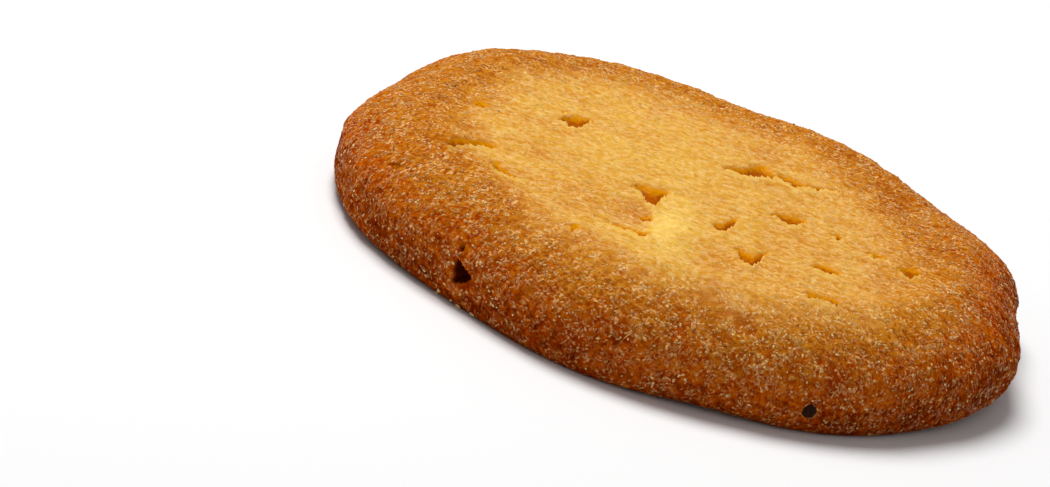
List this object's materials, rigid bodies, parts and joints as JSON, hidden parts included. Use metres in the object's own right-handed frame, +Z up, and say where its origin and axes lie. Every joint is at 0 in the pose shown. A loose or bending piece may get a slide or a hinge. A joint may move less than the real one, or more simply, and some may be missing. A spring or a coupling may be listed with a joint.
{
  "type": "shortbread biscuit",
  "caption": "Round flat butter biscuit with a browned rounded rim, a paler slightly sunken middle with short tears, and a flat base.",
  "frame": {"origin": "middle of the base, at the bottom centre of the bounding box", "axes": "+Z up through the thickness; the side seen from in front faces -Y, with +X to its right"},
  "size_m": [0.0646, 0.0668, 0.0105],
  "materials": {
    "baked_dough": "dry baked butter dough, grainy, golden in the middle and brown at the rim"
  },
  "bodies": {
    "root": {"biscuit": "baked_dough"}
  },
  "joints": []
}
